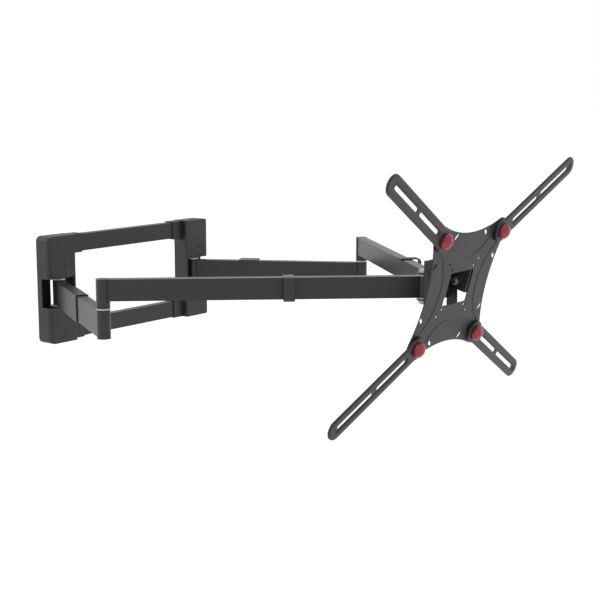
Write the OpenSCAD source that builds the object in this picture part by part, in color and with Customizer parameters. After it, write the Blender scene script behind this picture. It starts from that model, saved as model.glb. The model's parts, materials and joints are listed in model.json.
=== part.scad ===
// Full motion wall mount for a flat screen, with two folding arms.
// Two columns and two rails bolt to the wall. A first and a second arm on each side fold
// together and carry a swivel yoke, a tilting display plate and four adapter arms.
// Millimetres. X runs along the wall, +Z is up and the mount stands out towards -Y.
// The origin is on the wall plane, midway between the columns.

/* [Wall frame] */
// Distance between the centre lines of the two columns
stud_spacing = 406.4; // [390:0.1:430]
// Height of each column's cover
column_height = 220; // [216:1:260]
// Width of each column's cover
cover_width = 73; // [68:1:80]
// How far the covers stand out from the wall
cover_depth = 36.5; // [35:0.5:44]
// Height of each cross rail
rail_height = 35.5; // [30:0.5:36]
// How far the cross rails stand out from the wall
rail_depth = 22; // [18:1:26]

/* [Arms] */
// Shoulder pivot to elbow pivot
first_arm_length = 386.6; // [370:0.2:400]
// Elbow pivot to head pivot
second_arm_length = 571; // [560:1:590]
// How far the first arms lean outwards from straight out
first_arm_angle = 30.2; // [28:0.1:33]
// Height of the first arms' box section
first_arm_height = 49; // [44:1:50]
// Height of the second arms' box section
second_arm_height = 39; // [36:1:44]
// Thickness of both box sections
arm_width = 20; // [16:1:22]
// Radius of the round knuckles at the arm ends
knuckle_r = 12.4; // [11.6:0.1:12.5]

/* [Display side] */
// Lean of the display plate, top edge away from the wall
tilt_angle = 15; // [8:1:15]
// Distance between the knobs, across and up
knob_spacing = 200; // [196:1:210]
// Slope of the adapter arms against the horizontal
adapter_angle = 28.9; // [20:0.1:40]
// Knob axis to the tip of an adapter arm
adapter_reach = 247; // [244:1:260]
// Width of the adapter arms
adapter_width = 37.2; // [36:0.2:40]

/* [Hidden] */
$fn = 64;
steel = [0.16, 0.16, 0.17];
plastic = [0.13, 0.13, 0.14];
zinc = [0.7, 0.7, 0.72];
nylon = [0.85, 0.85, 0.83];
red = [0.7, 0.08, 0.1];

// Fits between parts
face_gap = 0.2;      // between flat faces that slide on each other
running_gap = 0.05;  // radial, shaft in its bearing
through = 1;         // extra length that carries a cut past a face

// Wall frame
column_x = stud_spacing / 2;
cover_wall = 2;
cover_corner_r = 11;
cover_outer_edge_r = 8;   // upright front edge away from the rails
cover_inner_edge_r = 3;   // upright front edge beside the rails
cover_fillet_r = 10;
cover_lug = 30;          // how far a cover runs along the rails
lug_proud = 2;           // cover over the rail's faces
rail_wall = 1.8;
rail_z = 89.5;           // centre of the top rail
rail_tuck = 22;          // how far a rail reaches past the cover's inner side
rail_screw_z = 9;
rail_screw_inset = 8;
window_low = -35.5;
window_high = 23.5;
window_inner_wall = 5;    // what is left of the front beside the rails
window_back = 13;        // the cover is closed this far from the wall
mark_length = 15;
mark_height = 8;
mark_depth = 0.8;
mark_pitch = 18.3;
mark_low_z = 31.5;
latch_width = 30;
latch_cut = 3;
base_width = 62;
base_height = 204;
base_thickness = 2.5;
base_corner_r = 8;
lag_z = 90;
lag_slot_height = 8.4;
lag_slot_length = 20;
back_slot_width = 8;
back_slot_low = -35;
back_slot_high = 20;

// Shoulder clevis on each column
shoulder_y = -24;
ear_thickness = 3.5;
ear_width = 32;
ear_front = -31.8;
ear_corner_r = 6;

// Knuckles, pins and bushes
pin_r = 5;
bush_r = 8;
bush_length = 14;
flange_height = 2.5;
first_low = -32.5;       // bottom of the first arms' knuckles
first_high = 19.5;       // top of the first arms' knuckles
first_bar_mid = -6.5;
upper_low = first_high + flange_height;
upper_high = 72.6;       // top of the second arms' elbow tubes
cap_height = 2;
cap_skirt = 3;
cap_skirt_wall = 1.6;
nut_pocket_r = 10.3;
nut_pocket_depth = 11.5;
nut_across_r = 9.2;      // hexagon, centre to corner
nut_height = 6;
pin_past_nut = 1.5;
bolt_head_height = 6;
bar_wall = 2.5;
bar_start = 9;           // the box sections start inside the knuckle wall
bar_cavity_start = 14;
second_low = 35.5;
second_high = second_low + second_arm_height;

// Cable clips
clip_wall = 2.5;
clip_bulge = 17;         // clear room for cables beside the arm
clip_lip = 3;
clip_bite = 0.5;
clip_stop = 2;
clip_corner_r = 9;
clip_inner_r = clip_corner_r - clip_wall;
first_clip_length = 42;
second_clip_length = 20;
first_clip_at = 129;
sleeve_length = 106;
sleeve_at = 163;
sleeve_corner_r = 3.5;
left_second_clip_at = 328;
right_second_clip_at = 374;

// Head
head_pivot_x = 18;
second_arm_angle = asin(
    (column_x + first_arm_length * sin(first_arm_angle) - head_pivot_x) / second_arm_length);
elbow_x = -column_x - first_arm_length * sin(first_arm_angle);
elbow_y = shoulder_y - first_arm_length * cos(first_arm_angle);
head_y = elbow_y - second_arm_length * cos(second_arm_angle);
head_bush_r = 8;
free_bore_r = 9;         // right arm's end bore, loose around its bolt
clevis_thickness = 3;
clevis_r = 12.5;
clevis_low = second_low - flange_height - clevis_thickness;
clevis_high = second_high + flange_height + clevis_thickness;
yoke_half = 41;
yoke_wall = 4;
yoke_flange_wall = 3.5;
yoke_back = head_y - 14.5;
yoke_front = yoke_back - 21;
yoke_high = 104.6;
yoke_flange_low = 15;
tilt_y = head_y - 36.4;
tilt_z = 62.7;
yoke_nose_r = 9;

// Display plate, measured from the tilt axis
plate_front = 25;
plate_thickness = 2;
plate_rear = plate_front - plate_thickness;
knob_half = knob_spacing / 2;
plate_corner_r = 23;
arc_overlap = 0.3;       // the big arcs bite this far into the corner circles
top_dip = 104;           // half height of the plate on its centre line
side_dip = 102;          // half width of the plate on its centre line
top_arc_r = tangent_arc_r(top_dip);
side_arc_r = tangent_arc_r(side_dip);
opening_width = 80;
opening_height = 62;
opening_corner_r = 3;
groove_tube_r = 4;       // the grooves are round-bottomed
groove_depth = 1.1;
top_groove_r = 83;
top_groove_at = 141;
side_groove_r = 97;
side_groove_at = 158;
vesa_hole_r = 3;
vesa_halves = [37.5, 50];
slot_near = 50;
slot_far = 100;
slot_travel = 7.5;
slot_r = 3.3;

// Tilt bracket behind the display plate
ear_outer_x = 36.3;
bracket_wall = 3;
bracket_flange = 20;
bracket_low = -15;
bracket_high = 34;
bracket_nose_r = 11;
bracket_corner_r = 6;
tilt_bolt_r = 4;
tilt_head_r = 7.5;
tilt_head_height = 5;
tilt_nut_r = 7.4;
tilt_nut_height = 6.5;
tilt_washer_r = 10;

// Adapter arms and knobs
adapter_height = 7;    // arm's front face over the plate
adapter_rim = 4.5;       // depth of the rolled rim
adapter_sheet = 2.2;
adapter_groove_half = 6;
adapter_groove_depth = 1.4;
adapter_slot_r = 3.75;
inner_slot = [34, 117];
outer_slot = [129, 224];
cup_r = 21.5;            // round cup at the knob, the only place where an arm rests on the plate
eye_boss_r = 9;
knob_stud_r = 4;
knob_cap_r = 14.5;
knob_cap_height = 12.6;
knob_dome_r = 18;
knob_cap_crown = 3;      // material left over the stud
stud_end = 2;            // stud past its nut
knob_nut_height = 6;
knob_nut_r = 7.5;
knob_signs = [["upper_left", -1, 1], ["upper_right", 1, 1], ["lower_left", -1, -1], ["lower_right", 1, -1]];

// ---------------------------------------------------------------- shared shapes

// Radius of the big arc that passes "dip" from the centre and runs smoothly into the corner circles.
function tangent_arc_r(dip) =
    let (reach = plate_corner_r - arc_overlap, step = dip - knob_half)
    (pow(knob_half, 2) + pow(step, 2) - pow(reach, 2)) / (2 * (reach - step));

// Everything is drawn for the left side; the right side is its mirror image.
module on_side(side) {
    mirror([side == "right" ? 1 : 0, 0, 0]) children();
}

// A shape drawn in (x, z) that stands out from the wall, from "back" to "front" (both positive).
module stand_out(back, front) {
    translate([0, -back, 0]) rotate([90, 0, 0]) linear_extrude(front - back) children();
}

module rounded_rect(size, r) {
    square([size[0] - 2 * r, size[1]], center = true);
    square([size[0], size[1] - 2 * r], center = true);
    for (x = [-1, 1], y = [-1, 1]) {
        translate([x * (size[0] / 2 - r), y * (size[1] / 2 - r)]) circle(r = r);
    }
}

// A slot with round ends, between two points on the x axis.
module slot_2d(from, to, r) {
    translate([from, -r]) square([to - from, 2 * r]);
    translate([from, 0]) circle(r = r);
    translate([to, 0]) circle(r = r);
}

module ring(outer, inner, low, high) {
    translate([0, 0, low]) difference() {
        cylinder(r = outer, h = high - low);
        translate([0, 0, -through]) cylinder(r = inner, h = high - low + 2 * through);
    }
}

module rod(r, low, high) {
    translate([0, 0, low]) cylinder(r = r, h = high - low);
}

module hex(r, low, high) {
    translate([0, 0, low]) cylinder(r = r, h = high - low, $fn = 6);
}

// Stations along the arm chain. Inside each, +X runs along the arm and -Y is its outer side.
module at_shoulder() {
    translate([-column_x, shoulder_y, 0]) rotate(270 - first_arm_angle) children();
}

module at_elbow() {
    translate([elbow_x, elbow_y, 0]) rotate(270 + second_arm_angle) children();
}

// The display side hangs on the tilt axis and leans with it.
module at_tilt() {
    translate([0, tilt_y, tilt_z]) rotate([tilt_angle, 0, 0]) children();
}

// ---------------------------------------------------------------- wall frame

module wall_channel(side) {
    color(steel) on_side(side) translate([-column_x, 0, 0]) {
        difference() {
            stand_out(0, base_thickness) rounded_rect([base_width, base_height], base_corner_r);
            stand_out(-through, base_thickness + through) {
                for (z = [-lag_z, lag_z]) {
                    translate([0, z]) slot_2d(-lag_slot_travel(), lag_slot_travel(), lag_slot_height / 2);
                }
                translate([-back_slot_width / 2, back_slot_low])
                    square([back_slot_width, back_slot_high - back_slot_low]);
            }
        }
        clevis_ear(first_high + flange_height + face_gap);
        clevis_ear(first_low - flange_height - face_gap - ear_thickness);
    }
}

function lag_slot_travel() = (lag_slot_length - lag_slot_height) / 2;

// A flat ear that stands out from the base plate and carries one end of the shoulder pin.
module clevis_ear(low) {
    depth = -ear_front - base_thickness / 2;
    translate([0, 0, low]) difference() {
        translate([0, (ear_front - base_thickness / 2) / 2, 0]) linear_extrude(ear_thickness) {
            rounded_rect([ear_width, depth], ear_corner_r);
            translate([0, depth / 4]) square([ear_width, depth / 2], center = true);
        }
        translate([0, shoulder_y, -through]) cylinder(r = pin_r + running_gap, h = ear_thickness + 2 * through);
    }
}

// A steel channel, open towards the wall, whose ends lie behind the covers.
module cross_rail(z) {
    half = column_x - cover_width / 2 + rail_tuck;
    color(steel) translate([0, 0, z]) difference() {
        stand_out(base_thickness, rail_depth) square([2 * half, rail_height], center = true);
        stand_out(base_thickness - through, rail_depth - rail_wall)
            square([2 * half + through, rail_height - 2 * rail_wall], center = true);
        rail_screw_places(half) rod(1.9, -through, rail_wall + through);
    }
}

// Screws go straight back through the rail's front wall, two at each end.
module rail_screw_places(half) {
    for (side = [-1, 1], z = [-rail_screw_z, rail_screw_z]) {
        translate([side * (half - rail_screw_inset), -rail_depth + rail_wall, z]) rotate([90, 0, 0]) children();
    }
}

module rail_screw_set() {
    half = column_x - cover_width / 2 + rail_tuck;
    color(zinc) for (z = [-rail_z, rail_z]) translate([0, 0, z]) rail_screw_places(half) {
        rod(1.8, -rail_depth + rail_wall + base_thickness, rail_wall + through);
        rod(4, rail_wall, rail_wall + 2.4);
    }
}

// The cover's outline as seen from the front, on the column's centre line.
module cover_outline(inset) {
    half_w = cover_width / 2 - inset;
    half_h = column_height / 2 - inset;
    r = cover_corner_r - inset;
    intersection() {
        translate([r, 0]) rounded_rect([2 * half_w + 2 * r, 2 * half_h], r);
        square([2 * half_w, 2 * half_h], center = true);
    }
}

// The cover's outline as seen from above, with its two upright front edges rounded.
module cover_plan(inset) {
    half_w = cover_width / 2 - inset;
    front = cover_depth - inset;
    for (edge = [[-1, cover_outer_edge_r - inset], [1, cover_inner_edge_r - inset]]) {
        side = edge[0];
        r = edge[1];
        translate([side * (half_w - r), r - front]) circle(r = r);
        translate([side * half_w / 2, through / 2 - (front - r) / 2])
            square([half_w, front - r + through], center = true);
        translate([side * (half_w - r) / 2, -front / 2]) square([half_w - r, front], center = true);
    }
}

// One solid of the cover's column, shrunk by "inset" on its front and sides.
module cover_block(inset) {
    intersection() {
        stand_out(-through, cover_depth - inset) cover_outline(inset);
        translate([0, 0, -column_height / 2]) linear_extrude(column_height) cover_plan(inset);
    }
}

// The two tongues along the rails, with a fillet in the corner to the column.
module lug_outline() {
    inner = cover_width / 2;
    low = rail_z - rail_height / 2 - lug_proud;
    for (flip = [0, 1]) mirror([0, flip]) {
        translate([0, low]) square([inner + cover_lug, rail_height + 2 * lug_proud]);
        difference() {
            translate([0, low - cover_fillet_r]) square([inner + cover_fillet_r, cover_fillet_r + through]);
            translate([inner + cover_fillet_r, low - cover_fillet_r]) circle(r = cover_fillet_r);
        }
    }
}

module rail_outline(clearance) {
    for (z = [-rail_z, rail_z]) {
        translate([0, z - rail_height / 2 - clearance])
            square([cover_width / 2 + cover_lug + through, rail_height + 2 * clearance]);
    }
}

module column_cover(side) {
    color(plastic) on_side(side) translate([-column_x, 0, 0]) difference() {
        union() {
            cover_block(0);
            stand_out(0, rail_depth + lug_proud) lug_outline();
        }
        cover_block(cover_wall);
        stand_out(-2 * through, 0) square(2 * column_height, center = true);
        stand_out(-through, rail_depth + face_gap) rail_outline(face_gap);
        stand_out(window_back, cover_depth + through) translate([-cover_width, window_low])
            square([1.5 * cover_width - window_inner_wall, window_high - window_low]);
        for (i = [0 : 2]) {
            stand_out(cover_depth - mark_depth, cover_depth + through)
                translate([0, mark_low_z + i * mark_pitch])
                    slot_2d(-(mark_length - mark_height) / 2, (mark_length - mark_height) / 2, mark_height / 2);
        }
        translate([0, -cover_depth, column_height / 2]) rotate([45, 0, 0])
            cube([latch_width, latch_cut, latch_cut], center = true);
    }
}

module shoulder_pin_set() {
    low = first_low - flange_height - face_gap - ear_thickness;
    high = first_high + flange_height + face_gap + ear_thickness;
    color(zinc) for (side = [-1, 1]) translate([side * column_x, shoulder_y, 0]) {
        rod(pin_r, low - nut_height - pin_past_nut, high + through);
        rod(7.8, high, high + 4);
    }
}

module shoulder_nut_set() {
    low = first_low - flange_height - face_gap - ear_thickness;
    color(zinc) for (side = [-1, 1]) translate([side * column_x, shoulder_y, 0]) difference() {
        hex(7.8, low - nut_height, low);
        rod(pin_r, low - nut_height - through, low + through);
    }
}

// ---------------------------------------------------------------- arms

// A hollow box section along +X that fades into a knuckle at either end.
module box_section(length, low, high) {
    difference() {
        translate([bar_start, -arm_width / 2, low]) cube([length - 2 * bar_start, arm_width, high - low]);
        translate([bar_cavity_start, -arm_width / 2 + bar_wall, low + bar_wall])
            cube([length - 2 * bar_cavity_start, arm_width - 2 * bar_wall, high - low - 2 * bar_wall]);
    }
}

module first_arm(side) {
    color(steel) on_side(side) at_shoulder() difference() {
        union() {
            box_section(first_arm_length, first_bar_mid - first_arm_height / 2,
                first_bar_mid + first_arm_height / 2);
            rod(knuckle_r, first_low, first_high);
            translate([first_arm_length, 0, 0]) rod(knuckle_r, first_low + cap_height, first_high);
        }
        rod(bush_r + running_gap, first_low - through, first_high + through);
        translate([first_arm_length, 0, 0]) {
            rod(pin_r + running_gap, first_low, first_high + through);
            rod(nut_pocket_r, first_low, first_low + nut_pocket_depth);
            rod(knuckle_r + face_gap, first_low - through, first_low + cap_height);
        }
    }
}

// A flanged bush, flange at "low", sleeve upwards.
module bush(low, flange, length) {
    ring(knuckle_r, pin_r + running_gap, low, low + flange);
    ring(bush_r, pin_r + running_gap, low + flange - 0.01, low + flange + length);
}

module shoulder_bushes(side) {
    color(nylon) on_side(side) at_shoulder() {
        bush(first_low - flange_height, flange_height, bush_length);
        translate([0, 0, first_high + flange_height]) mirror([0, 0, 1]) bush(0, flange_height, bush_length);
    }
}

// Bolt from below, head in the pocket under the first arm's knuckle.
module elbow_pin(side) {
    head_low = first_low + nut_pocket_depth - bolt_head_height;
    nut_low = upper_high - nut_pocket_depth + 1.5 + face_gap;
    color(zinc) on_side(side) at_shoulder() translate([first_arm_length, 0, 0]) {
        hex(nut_across_r, head_low, first_low + nut_pocket_depth);
        rod(pin_r, head_low + through, nut_low + nut_height + pin_past_nut);
    }
}

module elbow_nut(side) {
    low = upper_high - nut_pocket_depth + 1.5 + face_gap;
    color(zinc) on_side(side) at_shoulder() translate([first_arm_length, 0, 0]) difference() {
        hex(nut_across_r, low, low + nut_height);
        rod(pin_r, low - through, low + nut_height + through);
    }
}

// A plug that closes a knuckle: a disc with a short skirt inside the pocket.
module knuckle_cap() {
    rod(knuckle_r, 0, cap_height);
    ring(nut_pocket_r - running_gap, nut_pocket_r - cap_skirt_wall, -cap_skirt, 0.01);
}

module bottom_cap(side) {
    color(plastic) on_side(side) at_shoulder() translate([first_arm_length, 0, first_low + cap_height])
        mirror([0, 0, 1]) knuckle_cap();
}

module top_cap(side) {
    color(plastic) on_side(side) at_elbow() translate([0, 0, upper_high]) knuckle_cap();
}

module second_arm(side) {
    end_bore_r = side == "left" ? head_bush_r + running_gap : free_bore_r;
    color(steel) on_side(side) at_elbow() difference() {
        union() {
            box_section(second_arm_length, second_low, second_high);
            rod(knuckle_r, upper_low, upper_high);
            translate([second_arm_length, 0, 0]) rod(knuckle_r, second_low, second_high);
        }
        rod(bush_r + running_gap, upper_low - through, upper_high);
        rod(nut_pocket_r, upper_high - nut_pocket_depth, second_high + through);
        translate([0, 0, upper_high]) cylinder(r = knuckle_r + face_gap, h = cap_height + through);
        translate([second_arm_length, 0, 0]) rod(end_bore_r, second_low - through, second_high + through);
    }
}

module elbow_bushes(side) {
    pocket_floor = upper_high - nut_pocket_depth;
    color(nylon) on_side(side) at_elbow() {
        bush(upper_low - flange_height + face_gap, flange_height - face_gap, bush_length);
        ring(bush_r, pin_r + running_gap, pocket_floor - bush_length, pocket_floor + 0.01);
        ring(nut_pocket_r - face_gap, pin_r + running_gap, pocket_floor, pocket_floor + 1.5);
    }
}

module head_bush() {
    color(nylon) on_side("left") at_elbow() translate([second_arm_length, 0, 0])
        ring(head_bush_r, pin_r + running_gap, second_low + face_gap, second_high - face_gap);
}

// ---------------------------------------------------------------- cable clips

// Cross-section of a clip around a bar of the given height, bar centred on the origin.
// The x direction here is across the arm, negative on the outer side.
module clip_profile(bar_height) {
    inner_w = arm_width + clip_bulge;
    mid = -clip_bulge / 2;
    difference() {
        union() {
            translate([mid, 0]) rounded_rect([inner_w + 2 * clip_wall, bar_height + 2 * clip_wall], clip_corner_r);
            // Square lips that hook over the bar's inner side.
            for (low = [-bar_height / 2 - clip_wall, bar_height / 2 - clip_lip]) translate([0, low])
                square([arm_width / 2 + clip_wall, clip_lip + clip_wall]);
        }
        translate([mid, 0]) rounded_rect([inner_w, bar_height], clip_inner_r);
        square([arm_width, bar_height], center = true);
        translate([arm_width / 2 - through, -bar_height / 2 + clip_lip])
            square([clip_wall * 2 + 2 * through, bar_height - 2 * clip_lip]);
    }
    // Two stops that keep the bar in its place.
    for (low = [-bar_height / 2 - clip_bite, bar_height / 2 - clip_stop])
        translate([-arm_width / 2 - clip_stop, low]) square([clip_stop, clip_stop + clip_bite]);
}

module arm_clip(bar_height, mid_z, at, length) {
    color(plastic) translate([at - length / 2, 0, mid_z])
        rotate([90, 0, 90]) linear_extrude(length) clip_profile(bar_height);
}

module first_clip(side) {
    on_side(side) at_shoulder() arm_clip(first_arm_height, first_bar_mid, first_clip_at, first_clip_length);
}

// A snug sleeve, open along the arm's inner side so that it springs over the bar.
module first_sleeve(side) {
    color(plastic) on_side(side) at_shoulder() translate([sleeve_at - sleeve_length / 2, 0, first_bar_mid])
        rotate([90, 0, 90]) linear_extrude(sleeve_length) difference() {
            rounded_rect([arm_width + 2 * clip_wall, first_arm_height + 2 * clip_wall], sleeve_corner_r);
            square([arm_width, first_arm_height], center = true);
            translate([arm_width / 2 - through, -first_arm_height / 2 + clip_lip])
                square([clip_wall + 2 * through, first_arm_height - 2 * clip_lip]);
        }
}

module second_clip(side, at) {
    on_side(side) at_elbow()
        arm_clip(second_arm_height, (second_low + second_high) / 2, at, second_clip_length);
}

// ---------------------------------------------------------------- swivel head

// Clevis plate around both head pivots, running into the yoke's web.
module clevis_plate(low) {
    translate([0, 0, low]) linear_extrude(clevis_thickness) difference() {
        union() {
            for (x = [-1, 1]) translate([x * head_pivot_x, head_y]) circle(r = clevis_r);
            translate([-head_pivot_x, yoke_back - 1]) square([2 * head_pivot_x, head_y + clevis_r - yoke_back + 1]);
            translate([-head_pivot_x - clevis_r, yoke_back - 1])
                square([2 * (head_pivot_x + clevis_r), head_y - yoke_back + 1]);
        }
        for (x = [-1, 1]) translate([x * head_pivot_x, head_y]) circle(r = pin_r + running_gap);
    }
}

module swivel_yoke() {
    color(steel) difference() {
        union() {
            clevis_plate(clevis_low);
            clevis_plate(clevis_high - clevis_thickness);
            translate([-yoke_half, yoke_back - yoke_wall, clevis_low])
                cube([2 * yoke_half, yoke_wall, yoke_high - clevis_low]);
            for (side = [-1, 1]) yoke_flange(side);
        }
        for (side = [-1, 1])
            translate([side * yoke_half, tilt_y, tilt_z]) rotate([0, 90, 0])
                cylinder(r = tilt_bolt_r + running_gap, h = 4 * yoke_flange_wall, center = true);
    }
}

// Side flange of the yoke with a round nose at the tilt axis.
module yoke_flange(side) {
    mid = side * (yoke_half - yoke_flange_wall / 2);
    translate([mid - yoke_flange_wall / 2, 0, 0]) rotate([90, 0, 90]) linear_extrude(yoke_flange_wall) {
        translate([yoke_front, yoke_flange_low]) square([yoke_back - yoke_front, yoke_high - yoke_flange_low]);
        translate([tilt_y, tilt_z]) circle(r = yoke_nose_r);
    }
}

module head_bolt_set() {
    color(zinc) for (x = [-1, 1]) translate([x * head_pivot_x, head_y, 0]) {
        rod(pin_r, clevis_low - nut_height - pin_past_nut, clevis_high + through);
        hex(nut_across_r, clevis_high, clevis_high + bolt_head_height);
    }
}

module head_nut_set() {
    color(zinc) for (x = [-1, 1]) translate([x * head_pivot_x, head_y, 0]) difference() {
        hex(nut_across_r, clevis_low - nut_height, clevis_low);
        rod(pin_r, clevis_low - nut_height - through, clevis_low + through);
    }
}

module head_washer_set() {
    color(nylon) for (x = [-1, 1], low = [clevis_low + clevis_thickness, second_high + face_gap])
        translate([x * head_pivot_x, head_y, 0])
            ring(knuckle_r, pin_r + running_gap, low, low + flange_height - face_gap);
}

// ---------------------------------------------------------------- display plate

// Outline of the plate: four round corners joined by big arcs that curve inwards.
module plate_outline() {
    top_centre = top_dip + top_arc_r;
    side_centre = side_dip + side_arc_r;
    top_spoke = spoke_end(0, top_centre);
    side_spoke = spoke_end(side_centre, 0);
    corner = [knob_half, knob_half];
    difference() {
        polygon([
            side_spoke, corner, top_spoke,
            flipped(top_spoke, -1, 1), flipped(corner, -1, 1), flipped(side_spoke, -1, 1),
            flipped(side_spoke, -1, -1), flipped(corner, -1, -1), flipped(top_spoke, -1, -1),
            flipped(top_spoke, 1, -1), flipped(corner, 1, -1), flipped(side_spoke, 1, -1)
        ]);
        for (s = [-1, 1]) {
            translate([0, s * top_centre]) circle(r = top_arc_r, $fn = 180);
            translate([s * side_centre, 0]) circle(r = side_arc_r, $fn = 180);
        }
    }
    for (x = [-1, 1], y = [-1, 1])
        translate([x * knob_half, y * knob_half]) circle(r = plate_corner_r);
}

// A point past the corner circle, on the line from the corner's centre to an arc's centre.
function spoke_end(x, y) =
    let (corner = [knob_half, knob_half], run = [x, y] - corner)
    corner + run * (plate_corner_r + 10) / norm(run);

function flipped(point, x, y) = [x * point[0], y * point[1]];

module plate_holes() {
    rounded_rect([opening_width, opening_height], opening_corner_r);
    for (x = [-1, 1], y = [-1, 1]) {
        for (half = vesa_halves) translate([x * half, y * half]) circle(r = vesa_hole_r);
        // These slots lie square to their own diagonal.
        translate([x * slot_near, y * slot_far]) rotate(-45 * x * y)
            slot_2d(-slot_travel / 2, slot_travel / 2, slot_r);
        translate([x * slot_far, y * slot_near]) rotate(-45 * x * y)
            slot_2d(-slot_travel / 2, slot_travel / 2, slot_r);
        translate([x * knob_half, y * knob_half]) circle(r = knob_stud_r + running_gap);
    }
}

// Four round-bottomed grooves follow the plate's inward curves.
module groove_rings() {
    for (s = [-1, 1]) {
        groove_ring(0, s * top_groove_at, top_groove_r);
        groove_ring(s * side_groove_at, 0, side_groove_r);
    }
}

module groove_ring(x, z, r) {
    translate([x, -plate_front - groove_tube_r + groove_depth, z]) rotate([90, 0, 0])
        rotate_extrude($fn = 120) translate([r, 0]) circle(r = groove_tube_r);
}

module display_plate() {
    color(steel) at_tilt() difference() {
        stand_out(plate_rear, plate_front) plate_outline();
        stand_out(plate_rear - through, plate_front + through) plate_holes();
        groove_rings();
    }
}

// Two ears from the plate back to the tilt axis, each with a flange on the plate's rear face.
module tilt_bracket() {
    color(steel) at_tilt() for (side = [0, 1]) mirror([side, 0, 0]) difference() {
        union() {
            translate([ear_outer_x - bracket_wall, 0, 0]) rotate([90, 0, 90]) linear_extrude(bracket_wall) {
                circle(r = bracket_nose_r);
                translate([-plate_rear, bracket_low]) square([plate_rear, bracket_high - bracket_low]);
                translate([-plate_rear, 0])
                    square([plate_rear + bracket_nose_r, bracket_high - bracket_corner_r]);
                translate([bracket_nose_r - bracket_corner_r, bracket_high - bracket_corner_r])
                    circle(r = bracket_corner_r);
                translate([-plate_rear, 0])
                    square([plate_rear + bracket_nose_r - bracket_corner_r, bracket_high]);
            }
            translate([ear_outer_x - bracket_wall, -plate_rear, bracket_low])
                cube([bracket_flange, bracket_wall, bracket_high - bracket_low]);
        }
        translate([ear_outer_x, 0, 0]) rotate([0, 90, 0])
            cylinder(r = tilt_bolt_r + running_gap, h = 4 * bracket_wall, center = true);
    }
}

// Each tilt bolt enters from outside the yoke and is held by a nut inside the ear.
module tilt_bolt_set() {
    color(zinc) at_tilt() for (side = [0, 1]) mirror([side, 0, 0]) rotate([0, 90, 0]) {
        rod(tilt_bolt_r, ear_outer_x - bracket_wall - tilt_nut_height - 2, yoke_half + face_gap + through);
        rod(tilt_head_r, yoke_half + face_gap, yoke_half + face_gap + tilt_head_height);
    }
}

module tilt_nut_set() {
    inner = ear_outer_x - bracket_wall;
    color(zinc) at_tilt() for (side = [0, 1]) mirror([side, 0, 0]) rotate([0, 90, 0]) difference() {
        hex(tilt_nut_r, inner - tilt_nut_height, inner);
        rod(tilt_bolt_r, inner - tilt_nut_height - through, inner + through);
    }
}

module tilt_washer_set() {
    color(nylon) at_tilt() for (side = [0, 1]) mirror([side, 0, 0]) rotate([0, 90, 0])
        ring(tilt_washer_r, tilt_bolt_r + running_gap, ear_outer_x,
            yoke_half - yoke_flange_wall - face_gap);
}

module knob_nut_set() {
    color(zinc) at_tilt() for (x = [-1, 1], y = [-1, 1])
        translate([x * knob_half, 0, y * knob_half]) difference() {
            stand_out(plate_rear - knob_nut_height, plate_rear) circle(r = knob_nut_r, $fn = 6);
            stand_out(plate_rear - knob_nut_height - through, plate_rear + through)
                circle(r = knob_stud_r + running_gap);
        }
}

// ---------------------------------------------------------------- adapter arms and knobs

// Puts its children on a knob axis, with +X along that corner's adapter arm.
module at_knob(x, y) {
    at_tilt() translate([x * knob_half, 0, y * knob_half]) mirror([x < 0 ? 1 : 0, 0, 0])
        rotate([0, -y * adapter_angle, 0]) children();
}

// A pressed steel arm: rolled rims, open behind, with a shallow groove along its two slots.
// A round cup at the knob end reaches back to the plate.
module adapter_arm(x, y) {
    half = adapter_width / 2;
    tip = adapter_reach - half;
    cup = plate_front + face_gap;
    face = cup + adapter_height;
    rim = face - adapter_rim;
    groove_floor = face - adapter_groove_depth;
    color(steel) at_knob(x, y) difference() {
        union() {
            stand_out(rim, face) slot_2d(0, tip, half);
            stand_out(cup, face) circle(r = cup_r);
        }
        difference() {
            union() {
                stand_out(rim - through, face - adapter_sheet) slot_2d(0, tip, half - adapter_sheet);
                stand_out(cup - through, face - adapter_sheet) circle(r = cup_r - adapter_sheet);
            }
            stand_out(cup - 2 * through, face) {
                slot_2d(inner_slot[0], tip, adapter_groove_half + adapter_sheet);
                circle(r = eye_boss_r);
            }
        }
        stand_out(cup - through, groove_floor - adapter_sheet)
            slot_2d(inner_slot[0], tip, adapter_groove_half + adapter_sheet);
        stand_out(groove_floor, face + through) slot_2d(inner_slot[0], tip, adapter_groove_half);
        stand_out(cup - through, face + through) {
            circle(r = knob_stud_r + running_gap);
            for (slot = [inner_slot, outer_slot])
                slot_2d(slot[0] + adapter_slot_r, slot[1] - adapter_slot_r, adapter_slot_r);
        }
    }
}

// A red cap with a domed top and a blind bore for the stud.
module knob_cap(x, y) {
    face = plate_front + 2 * face_gap + adapter_height;
    color(red) at_knob(x, y) rotate([90, 0, 0]) translate([0, 0, face]) difference() {
        intersection() {
            rod(knob_cap_r, 0, knob_cap_height);
            translate([0, 0, knob_cap_height - knob_dome_r]) sphere(r = knob_dome_r, $fn = 96);
        }
        rod(knob_stud_r, -through, knob_cap_height - knob_cap_crown);
    }
}

module knob_stud(x, y) {
    face = plate_front + 2 * face_gap + adapter_height;
    back_end = plate_rear - knob_nut_height - stud_end;
    color(zinc) at_knob(x, y)
        stand_out(back_end, face + knob_cap_height - knob_cap_crown) circle(r = knob_stud_r);
}

// ---------------------------------------------------------------- one module per node

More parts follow.
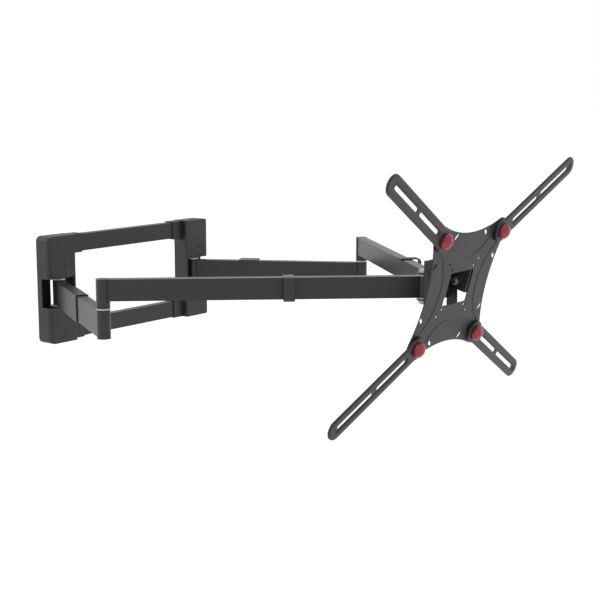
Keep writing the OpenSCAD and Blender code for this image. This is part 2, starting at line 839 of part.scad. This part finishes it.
module left_channel() { wall_channel("left"); }
module right_channel() { wall_channel("right"); }
module top_rail() { cross_rail(rail_z); }
module bottom_rail() { cross_rail(-rail_z); }
module rail_screws() { rail_screw_set(); }
module left_cover() { column_cover("left"); }
module right_cover() { column_cover("right"); }
module shoulder_pins() { shoulder_pin_set(); }
module shoulder_nuts() { shoulder_nut_set(); }
module left_first_arm() { first_arm("left"); }
module left_shoulder_bushes() { shoulder_bushes("left"); }
module left_first_clip() { first_sleeve("left"); }
module left_elbow_pin() { elbow_pin("left"); }
module left_elbow_nut() { elbow_nut("left"); }
module left_bottom_cap() { bottom_cap("left"); }
module right_first_arm() { first_arm("right"); }
module right_shoulder_bushes() { shoulder_bushes("right"); }
module right_first_clip() { first_clip("right"); }
module right_elbow_pin() { elbow_pin("right"); }
module right_elbow_nut() { elbow_nut("right"); }
module right_bottom_cap() { bottom_cap("right"); }
module left_second_arm() { second_arm("left"); }
module left_elbow_bushes() { elbow_bushes("left"); }
module left_top_cap() { top_cap("left"); }
module left_second_clip() { second_clip("left", left_second_clip_at); }
module left_head_bush() { head_bush(); }
module right_second_arm() { second_arm("right"); }
module right_elbow_bushes() { elbow_bushes("right"); }
module right_top_cap() { top_cap("right"); }
module right_second_clip() { second_clip("right", right_second_clip_at); }
module head_bolts() { head_bolt_set(); }
module head_nuts() { head_nut_set(); }
module head_washers() { head_washer_set(); }
module tilt_bolts() { tilt_bolt_set(); }
module tilt_nuts() { tilt_nut_set(); }
module tilt_washers() { tilt_washer_set(); }
module knob_nuts() { knob_nut_set(); }
module upper_left_adapter() { adapter_arm(-1, 1); }
module upper_right_adapter() { adapter_arm(1, 1); }
module lower_left_adapter() { adapter_arm(-1, -1); }
module lower_right_adapter() { adapter_arm(1, -1); }
module upper_left_knob() { knob_cap(-1, 1); }
module upper_right_knob() { knob_cap(1, 1); }
module lower_left_knob() { knob_cap(-1, -1); }
module lower_right_knob() { knob_cap(1, -1); }
module upper_left_stud() { knob_stud(-1, 1); }
module upper_right_stud() { knob_stud(1, 1); }
module lower_left_stud() { knob_stud(-1, -1); }
module lower_right_stud() { knob_stud(1, -1); }

left_channel();
right_channel();
top_rail();
bottom_rail();
rail_screws();
left_cover();
right_cover();
shoulder_pins();
shoulder_nuts();
left_first_arm();
left_shoulder_bushes();
left_first_clip();
left_elbow_pin();
left_elbow_nut();
left_bottom_cap();
right_first_arm();
right_shoulder_bushes();
right_first_clip();
right_elbow_pin();
right_elbow_nut();
right_bottom_cap();
left_second_arm();
left_elbow_bushes();
left_top_cap();
left_second_clip();
left_head_bush();
right_second_arm();
right_elbow_bushes();
right_top_cap();
right_second_clip();
swivel_yoke();
head_bolts();
head_nuts();
head_washers();
display_plate();
tilt_bracket();
tilt_bolts();
tilt_nuts();
tilt_washers();
knob_nuts();
upper_left_adapter();
upper_right_adapter();
lower_left_adapter();
lower_right_adapter();
upper_left_knob();
upper_right_knob();
lower_left_knob();
lower_right_knob();
upper_left_stud();
upper_right_stud();
lower_left_stud();
lower_right_stud();
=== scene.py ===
"""Looks of the full motion TV wall mount: materials, finer meshes, light and camera."""

import json
import math

import bmesh
import bpy
from mathutils import Matrix, Vector


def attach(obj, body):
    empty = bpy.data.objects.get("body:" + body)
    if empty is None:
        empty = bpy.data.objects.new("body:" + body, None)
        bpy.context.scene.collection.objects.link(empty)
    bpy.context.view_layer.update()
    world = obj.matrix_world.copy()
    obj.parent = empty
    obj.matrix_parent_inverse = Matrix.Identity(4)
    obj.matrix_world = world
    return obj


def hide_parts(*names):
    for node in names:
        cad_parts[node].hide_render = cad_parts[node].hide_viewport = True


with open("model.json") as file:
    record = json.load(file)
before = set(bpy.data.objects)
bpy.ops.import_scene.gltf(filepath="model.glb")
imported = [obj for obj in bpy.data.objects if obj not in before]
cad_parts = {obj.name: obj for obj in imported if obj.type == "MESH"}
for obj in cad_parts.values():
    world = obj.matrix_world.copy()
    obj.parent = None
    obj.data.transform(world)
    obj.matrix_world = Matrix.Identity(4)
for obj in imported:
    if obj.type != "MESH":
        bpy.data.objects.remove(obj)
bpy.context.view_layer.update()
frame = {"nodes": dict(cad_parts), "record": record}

NODES = frame["nodes"]
MM = 0.001

# ------------------------------------------------------------------ camera, light and floor

CAMERA_AZIMUTH = -52.32
CAMERA_ELEVATION = 9.49
CAMERA_DISTANCE = 2.45
CAMERA_TARGET = Vector((-0.0305, -0.5139, 0.004))
CAMERA_LENS = 76.5
FLOOR_Z = -0.62
FLOOR_SIZE = 24
FLOOR_GLOW = 0.08  # keeps the floor as pale as the studio around it


def direction(azimuth, elevation):
    """Unit vector from the object towards a viewer at these angles."""
    a = math.radians(azimuth)
    e = math.radians(elevation)
    return Vector((math.sin(a) * math.cos(e), -math.cos(a) * math.cos(e), math.sin(e)))


def add_camera():
    data = bpy.data.cameras.new("camera")
    data.lens = CAMERA_LENS
    data.sensor_width = 36
    data.clip_end = 50
    camera = bpy.data.objects.new("camera", data)
    back = direction(CAMERA_AZIMUTH, CAMERA_ELEVATION)
    camera.location = CAMERA_TARGET + CAMERA_DISTANCE * back
    camera.rotation_euler = (-back).to_track_quat("-Z", "Y").to_euler()
    bpy.context.scene.collection.objects.link(camera)
    bpy.context.scene.camera = camera


def add_softbox(name, azimuth, elevation, distance, size, power):
    data = bpy.data.lights.new(name, "AREA")
    data.shape = "DISK"
    data.size = size
    data.energy = power
    light = bpy.data.objects.new(name, data)
    back = direction(azimuth, elevation)
    light.location = CAMERA_TARGET + distance * back
    light.rotation_euler = (-back).to_track_quat("-Z", "Y").to_euler()
    bpy.context.scene.collection.objects.link(light)


def add_world():
    world = bpy.data.worlds.new("studio")
    world.use_nodes = True
    background = world.node_tree.nodes["Background"]
    background.inputs["Color"].default_value = (1, 1, 1, 1)
    background.inputs["Strength"].default_value = 1.0
    bpy.context.scene.world = world


def add_floor():
    bpy.ops.mesh.primitive_plane_add(size=FLOOR_SIZE, location=(0, 0, FLOOR_Z))
    floor = bpy.context.object
    floor.name = "floor"
    paint = plain_material("floor_paint", (0.97, 0.97, 0.97), 0.95)
    shader = paint.node_tree.nodes["Principled BSDF"]
    shader.inputs["Emission Color"].default_value = (1, 1, 1, 1)
    shader.inputs["Emission Strength"].default_value = FLOOR_GLOW
    floor.data.materials.append(paint)


def plain_material(name, colour, roughness):
    material = bpy.data.materials.new(name)
    material.use_nodes = True
    shader = material.node_tree.nodes["Principled BSDF"]
    shader.inputs["Base Color"].default_value = (*colour, 1)
    shader.inputs["Roughness"].default_value = roughness
    return material


# ------------------------------------------------------------------ materials

class Nodes:
    """Short names for building one node tree."""

    def __init__(self, name):
        self.material = bpy.data.materials.new(name)
        self.material.use_nodes = True
        self.tree = self.material.node_tree
        self.shader = self.tree.nodes["Principled BSDF"]
        self.coords = self.tree.nodes.new("ShaderNodeTexCoord").outputs["Object"]

    def add(self, kind, **inputs):
        node = self.tree.nodes.new(kind)
        for key, value in inputs.items():
            node.inputs[key.replace("_", " ")].default_value = value
        return node

    def link(self, source, target):
        self.tree.links.new(source, target)

    def noise(self, scale, detail=2.0, roughness=0.5):
        node = self.add("ShaderNodeTexNoise", Scale=scale, Detail=detail, Roughness=roughness)
        self.link(self.coords, node.inputs["Vector"])
        return node.outputs["Fac"]

    def spread(self, source, low, high, start=0.3, end=0.7):
        """Maps a texture that mostly lies between start and end onto low to high."""
        node = self.add("ShaderNodeMapRange")
        self.link(source, node.inputs["Value"])
        node.inputs["From Min"].default_value = start
        node.inputs["From Max"].default_value = end
        node.inputs["To Min"].default_value = low
        node.inputs["To Max"].default_value = high
        return node.outputs["Result"]

    def tint(self, fac, dark, light):
        node = self.tree.nodes.new("ShaderNodeMix")
        node.data_type = "RGBA"
        self.link(fac, node.inputs["Factor"])
        sockets = [s for s in node.inputs if s.type == "RGBA"]
        sockets[0].default_value = (*dark, 1)
        sockets[1].default_value = (*light, 1)
        return [s for s in node.outputs if s.type == "RGBA"][0]

    def bump(self, height, distance, strength=1.0):
        node = self.add("ShaderNodeBump", Strength=strength, Distance=distance)
        self.link(height, node.inputs["Height"])
        self.link(node.outputs["Normal"], self.shader.inputs["Normal"])


def shade(colour, factor):
    return tuple(min(1.0, c * factor) for c in colour)


def coated_steel(name, colour, roughness=0.42, grain=0.00012):
    """Powder coat: orange-peel bump, a little mottling, and roughness that drifts."""
    n = Nodes(name)
    mottle = n.spread(n.noise(9.0, 3.0), 0.0, 1.0)
    n.link(n.tint(mottle, shade(colour, 0.97), shade(colour, 1.03)), n.shader.inputs["Base Color"])
    n.link(n.spread(n.noise(160.0, 3.0), roughness - 0.03, roughness + 0.03), n.shader.inputs["Roughness"])
    n.bump(n.noise(1400.0, 2.0), grain, 0.45)
    n.shader.inputs["Specular IOR Level"].default_value = 0.45
    return n.material


def moulded_plastic(name, colour, roughness=0.5, grain=0.0001):
    """Moulding with a fine spark-eroded texture."""
    n = Nodes(name)
    mottle = n.spread(n.noise(14.0), 0.0, 1.0)
    n.link(n.tint(mottle, shade(colour, 0.95), shade(colour, 1.05)), n.shader.inputs["Base Color"])
    n.link(n.spread(n.noise(60.0), roughness - 0.04, roughness + 0.05), n.shader.inputs["Roughness"])
    n.bump(n.noise(2200.0, 3.0), grain, 0.35)
    return n.material


def plated_steel(name):
    n = Nodes(name)
    tone = n.spread(n.noise(120.0, 3.0), 0.0, 1.0)
    n.link(n.tint(tone, (0.38, 0.38, 0.4), (0.52, 0.52, 0.53)), n.shader.inputs["Base Color"])
    n.link(n.spread(n.noise(300.0), 0.24, 0.4), n.shader.inputs["Roughness"])
    n.shader.inputs["Metallic"].default_value = 1.0
    n.bump(n.noise(900.0), 0.00005, 0.3)
    return n.material


MATERIALS = {
    "frame_steel": coated_steel("frame_steel", (0.011, 0.011, 0.012)),
    "arm_steel": coated_steel("arm_steel", (0.011, 0.0112, 0.012), 0.36),
    "head_steel": coated_steel("head_steel", (0.009, 0.009, 0.0095)),
    "plate_steel": coated_steel("plate_steel", (0.007, 0.007, 0.0072)),
    "adapter_steel": coated_steel("adapter_steel", (0.011, 0.011, 0.0115), 0.4),
    "cover_plastic": moulded_plastic("cover_plastic", (0.012, 0.012, 0.0125)),
    "clip_plastic": moulded_plastic("clip_plastic", (0.010, 0.010, 0.0105), 0.4),
    "cap_plastic": moulded_plastic("cap_plastic", (0.010, 0.010, 0.0105), 0.4),
    "knob_red": moulded_plastic("knob_red", (0.24, 0.012, 0.022), 0.16, 0.00003),
    "nylon": moulded_plastic("nylon", (0.5, 0.5, 0.48), 0.45),
    "fastener_zinc": plated_steel("fastener_zinc"),
}


def dress_cad_nodes():
    for part in frame["record"]["subparts"]:
        if part["node"] in REPLACED:
            continue
        piece = NODES[part["node"]]
        material = MATERIALS[part["material_slot"]]
        piece.data.materials.clear()
        piece.data.materials.append(material)
        soften(piece)


def soften(piece, width=0.6 * MM, segments=3):
    """Joins the split faces of an imported solid and rounds its edges."""
    weld = piece.modifiers.new("weld", "WELD")
    weld.merge_threshold = 1e-6
    bevel = piece.modifiers.new("edges", "BEVEL")
    bevel.width = width
    bevel.segments = segments
    bevel.limit_method = "ANGLE"
    bevel.angle_limit = math.radians(32)
    bevel.use_clamp_overlap = True
    piece.modifiers.new("normals", "WEIGHTED_NORMAL").keep_sharp = True


# ------------------------------------------------------------------ mesh tools

SHARP_ANGLE = math.radians(38)  # edges that turn by more than this stay crisp


def circle_ring(radius, height, steps=64):
    """Points of one level ring around the local Z axis."""
    angles = [2 * math.pi * i / steps for i in range(steps)]
    return [(radius * math.cos(a), radius * math.sin(a), height) for a in angles]


def stadium_ring(start, end, half_width, height, steps=14):
    """Points of one level ring with straight sides and round ends along the local X axis."""
    points = []
    for centre, first in ((end, -90), (start, 90)):
        for i in range(steps + 1):
            angle = math.radians(first + 180 * i / steps)
            points.append((centre + half_width * math.cos(angle), half_width * math.sin(angle), height))
    return points


class Shell:
    """Builds one closed surface from rings of points, in millimetres."""

    def __init__(self):
        self.mesh = bmesh.new()

    def ring(self, points):
        return [self.mesh.verts.new(p) for p in points]

    def bridge(self, first, second):
        for i, here in enumerate(first):
            after = (i + 1) % len(first)
            self.mesh.faces.new((here, first[after], second[after], second[i]))

    def loft(self, rings, closed=False):
        rows = [self.ring(r) for r in rings]
        for lower, upper in zip(rows, rows[1:]):
            self.bridge(lower, upper)
        if closed:
            self.bridge(rows[-1], rows[0])
        return rows[0], rows[-1]

    def fill(self, *loops):
        """A flat face bounded by the first loop, with the others as its holes."""
        edges = []
        for loop in loops:
            for i, here in enumerate(loop):
                after = loop[(i + 1) % len(loop)]
                edges.append(self.mesh.edges.get((here, after)) or self.mesh.edges.new((here, after)))
        bmesh.ops.triangle_fill(self.mesh, edges=edges, use_beauty=True, use_dissolve=False)

    def solid(self, rings):
        """A lofted body with both ends closed."""
        low, high = self.loft(rings)
        self.fill(low)
        self.fill(high)

    def piece(self, name, slot, body, placements, replaces):
        """Turns the surface into an object, once for each placement matrix, in metres."""
        bmesh.ops.recalc_face_normals(self.mesh, faces=self.mesh.faces)
        template = bpy.data.meshes.new(name)
        self.mesh.to_mesh(template)
        self.mesh.free()
        joined = bmesh.new()
        for matrix in placements:
            copy = template.copy()
            copy.transform(matrix @ Matrix.Scale(MM, 4))
            if matrix.determinant() < 0:
                copy.flip_normals()
            joined.from_mesh(copy)
            bpy.data.meshes.remove(copy)
        mesh = bpy.data.meshes.new(name)
        joined.to_mesh(mesh)
        joined.free()
        bpy.data.meshes.remove(template)
        for face in mesh.polygons:
            face.use_smooth = True
        mesh.set_sharp_from_angle(angle=SHARP_ANGLE)
        mesh.materials.append(MATERIALS[slot])
        piece = bpy.data.objects.new(name, mesh)
        bpy.context.scene.collection.objects.link(piece)
        piece.modifiers.new("normals", "WEIGHTED_NORMAL").keep_sharp = True
        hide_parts(replaces)
        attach(piece, body)
        return piece


def quarter_round(outer, top, radius, steps=5):
    """(half width, height) pairs that round an outer top edge, from its side to its top."""
    pairs = []
    for i in range(steps + 1):
        angle = math.radians(90 * i / steps)
        pairs.append((outer - radius + radius * math.cos(angle), top - radius + radius * math.sin(angle)))
    return pairs


def placement(origin, x_axis, z_axis):
    """Matrix that puts a part drawn along local X and Z at a place in the model, in metres."""
    x = Vector(x_axis).normalized()
    z = Vector(z_axis).normalized()
    y = z.cross(x)
    rows = [(x[i], y[i], z[i], origin[i]) for i in range(3)]
    return Matrix((*rows, (0, 0, 0, 1)))


# ------------------------------------------------------------------ adapter arms and knobs

JOINTS = {joint["name"]: joint for joint in frame["record"]["behaviour"]["joints"]}
OUTWARD = Vector(JOINTS["upper_left_knob_turn"]["axis"])
ACROSS = Vector((1, 0, 0))
UPWARD = OUTWARD.cross(ACROSS)
CORNERS = {
    "upper_left": (-1, 1), "upper_right": (1, 1),
    "lower_left": (-1, -1), "lower_right": (1, -1),
}

# Millimetres, as in the CAD model. Heights are over the display plate.
FACE_GAP = 0.2
ARM_ANGLE = 28.9
ARM_REACH = 247
ARM_HALF = 18.6
ARM_FACE = FACE_GAP + 7
ARM_RIM = ARM_FACE - 4.5
ARM_SHEET = 2.2
RIM_ROUND = 2.6
RIM_LIP = 0.5
GROOVE_HALF = 6
GROOVE_FLOOR = ARM_FACE - 1.4
INNER_SLOT = (34, 117)
OUTER_SLOT = (129, 224)
SLOT_R = 3.75
SLOT_EDGE = 0.35
CUP_R = 21.5
CUP_WALL = 2.2
CUP_BOSS_R = 9
CUP_EDGE = 0.3
CUP_UNDER_FACE = 0.15  # keeps the cup's top just under the arm's face
STUD_HOLE_R = 4.05

# (growth of the half width, height over the named level) down each pressed wall.
GROOVE_WALL_TOP = ((0.7, 0), (0.25, -0.2), (0, -0.6))
GROOVE_WALL_FOOT = ((-0.2, 0.2), (-0.6, 0))
RIB_EDGE = 0.3
RIB_CHAMFER = 0.4


def knob_placement(corner, along_arm=True):
    """The knob axis at the plate's face, with local Z outwards and local X along the arm."""
    x, y = CORNERS[corner]
    origin = JOINTS[corner + "_swing"]["pos_m"]
    angle = math.radians(ARM_ANGLE)
    along = ACROSS * x * math.cos(angle) + UPWARD * y * math.sin(angle)
    return placement(origin, along if along_arm else ACROSS, OUTWARD)


def slot_rings(slot, levels):
    start = slot[0] + SLOT_R
    end = slot[1] - SLOT_R
    return [stadium_ring(start, end, SLOT_R + grow, height) for grow, height in levels]


def adapter_shell():
    """Pressed arm: rolled rim, rounded shoulders, a groove with two slots, open behind."""
    shell = Shell()
    tip = ARM_REACH - ARM_HALF
    inside = ARM_FACE - ARM_SHEET
    groove_back = GROOVE_FLOOR - ARM_SHEET
    groove_start = INNER_SLOT[0]

    def arm_ring(half, height):
        return stadium_ring(0, tip, half, height)

    def groove_ring(half, height):
        return stadium_ring(groove_start, tip, half, height)

    outside = [arm_ring(ARM_HALF - RIM_LIP, ARM_RIM), arm_ring(ARM_HALF, ARM_RIM + RIM_LIP)]
    outside += [arm_ring(half, height) for half, height in quarter_round(ARM_HALF, ARM_FACE, RIM_ROUND)]
    back_edge, shoulder = shell.loft(outside)

    wall = ARM_HALF - ARM_SHEET
    lining = [arm_ring(wall + RIM_LIP / 2, ARM_RIM), arm_ring(wall, ARM_RIM + RIM_LIP)]
    lining += [arm_ring(half, height) for half, height in quarter_round(wall, inside, RIM_LIP * 2, 3)]
    back_lip, ceiling = shell.loft(lining)
    shell.bridge(back_edge, back_lip)

    groove = [groove_ring(GROOVE_HALF + grow, ARM_FACE + rise) for grow, rise in GROOVE_WALL_TOP]
    groove += [groove_ring(GROOVE_HALF + grow, GROOVE_FLOOR + rise) for grow, rise in GROOVE_WALL_FOOT]
    groove_top, floor = shell.loft(groove)
    rib_half = GROOVE_HALF + ARM_SHEET
    rib_root, rib_top = shell.loft([
        groove_ring(rib_half + RIB_EDGE, inside), groove_ring(rib_half, groove_back + RIB_EDGE),
        groove_ring(rib_half - RIB_CHAMFER, groove_back)])

    levels = [(SLOT_EDGE, GROOVE_FLOOR), (0, GROOVE_FLOOR - SLOT_EDGE), (0, groove_back + SLOT_EDGE),
              (SLOT_EDGE, groove_back)]
    slots = [shell.loft(slot_rings(slot, levels)) for slot in (INNER_SLOT, OUTER_SLOT)]
    hole_top, hole_back = shell.loft([circle_ring(STUD_HOLE_R, ARM_FACE), circle_ring(STUD_HOLE_R, inside)])

    shell.fill(shoulder, groove_top, hole_top)
    shell.fill(floor, *[top for top, _ in slots])
    shell.fill(ceiling, rib_root, hole_back)
    shell.fill(rib_top, *[bottom for _, bottom in slots])
    return shell


def add_cup(shell):
    """Round cup around the stud, hollow behind, with the boss that sits on the plate."""
    top = ARM_FACE - CUP_UNDER_FACE
    inner = CUP_R - CUP_WALL
    ceiling = ARM_FACE - CUP_WALL
    foot = FACE_GAP + CUP_EDGE
    profile = [(inner + CUP_EDGE, FACE_GAP), (CUP_R - CUP_EDGE, FACE_GAP), (CUP_R, foot)]
    profile += quarter_round(CUP_R, top, RIM_ROUND)
    profile += [(STUD_HOLE_R, top), (STUD_HOLE_R, FACE_GAP), (CUP_BOSS_R - CUP_EDGE, FACE_GAP),
                (CUP_BOSS_R, foot), (CUP_BOSS_R, ceiling), (inner, ceiling), (inner, foot)]
    shell.loft([circle_ring(radius, height) for radius, height in profile], closed=True)


def add_adapters():
    for corner in CORNERS:
        shell = adapter_shell()
        add_cup(shell)
        node = corner + "_adapter"
        shell.piece(node + "_pressing", "adapter_steel", node, [knob_placement(corner)], node)


KNOB_BASE = ARM_FACE + FACE_GAP
KNOB_R = 14.5
KNOB_DOME_R = 18
KNOB_TOP = KNOB_BASE + 12.6
KNOB_BORE_TOP = KNOB_TOP - 3
KNOB_FOOT_ROUND = 1.0
KNOB_FOOT_STEPS = 4
KNOB_DOME_STEPS = 10
KNOB_RIM_INSET = 0.4
KNOB_POLE_R = 0.02  # a ring this small closes the ends of the cap


def add_knobs():
    """Domed cap with a rounded foot and a blind bore for the stud."""
    dome_centre = KNOB_TOP - KNOB_DOME_R
    profile = [(0, KNOB_BORE_TOP), (STUD_HOLE_R, KNOB_BORE_TOP), (STUD_HOLE_R, KNOB_BASE)]
    for i in range(KNOB_FOOT_STEPS + 1):
        turn = math.pi / 2 * i / KNOB_FOOT_STEPS
        profile.append((KNOB_R - KNOB_FOOT_ROUND * (1 - math.sin(turn)),
                        KNOB_BASE + KNOB_FOOT_ROUND * (1 - math.cos(turn))))
    rim_angle = math.asin((KNOB_R - KNOB_RIM_INSET) / KNOB_DOME_R)
    for i in range(KNOB_DOME_STEPS):
        angle = rim_angle * (1 - i / KNOB_DOME_STEPS)
        profile.append((KNOB_DOME_R * math.sin(angle), dome_centre + KNOB_DOME_R * math.cos(angle)))
    for corner in CORNERS:
        shell = Shell()
        shell.solid([circle_ring(max(radius, KNOB_POLE_R), height) for radius, height in profile])
        node = corner + "_knob"
        shell.piece(node + "_cap", "knob_red", node, [knob_placement(corner, False)], node)


REPLACED = {corner + part for corner in CORNERS for part in ("_adapter", "_knob")}

add_camera()
add_world()
add_floor()
add_softbox("wall_side_light", azimuth=-140, elevation=30, distance=3.2, size=2.4, power=22)
add_softbox("knob_light", azimuth=54, elevation=2, distance=2.4, size=0.3, power=1.0)
dress_cad_nodes()
add_adapters()
add_knobs()
bpy.context.scene.view_settings.view_transform = "Standard"
